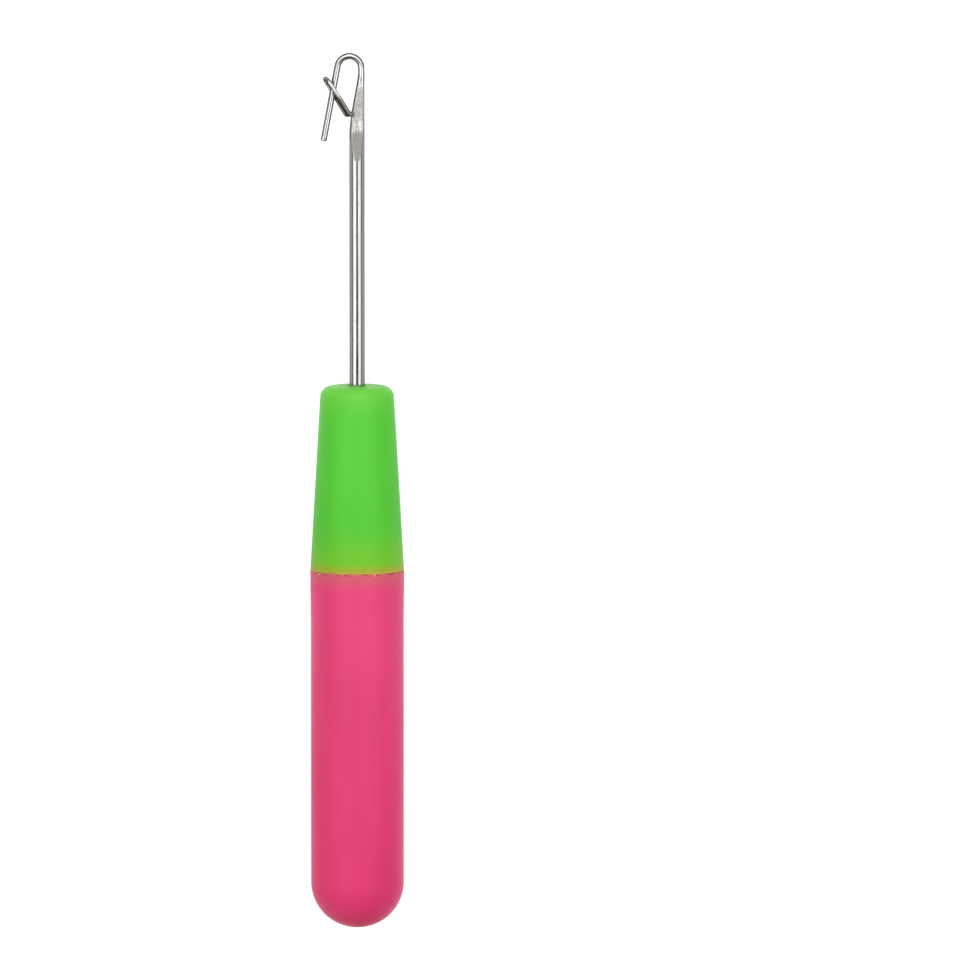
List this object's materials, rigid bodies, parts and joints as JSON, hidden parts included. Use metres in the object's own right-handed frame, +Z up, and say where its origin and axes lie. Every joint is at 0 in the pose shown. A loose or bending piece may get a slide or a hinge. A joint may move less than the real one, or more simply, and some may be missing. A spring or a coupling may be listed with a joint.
{
  "type": "latch hook",
  "caption": "Slim hand tool: a round plastic handle with a tapered front, and a steel needle whose flat blade ends in a wire hook with a swinging wire latch.",
  "frame": {"origin": "on the surface the tool lies on, under the middle of its length", "axes": "+Y along the handle towards the hook's tip, -X towards the open leg of the hook, +Z up, square to the blade's flats"},
  "size_m": [0.0126, 0.1178, 0.0126],
  "materials": {
    "pink_plastic": "satin, slightly translucent moulded plastic",
    "green_plastic": "satin, slightly translucent moulded plastic",
    "needle_steel": "polished round shaft and hook, matte pressed blade",
    "latch_steel": "bright drawn wire"
  },
  "bodies": {
    "handle": {"grip": "pink_plastic", "front_cap": "green_plastic", "needle": "needle_steel"},
    "latch": {"latch": "latch_steel"}
  },
  "joints": [
    {"name": "latch_swing", "type": "hinge", "parent": "handle", "child": "latch", "pos_m": [-0.00057, 0.05072, 0.00631], "axis": [0, 0, 1], "range_deg": [-5, 120]}
  ]
}
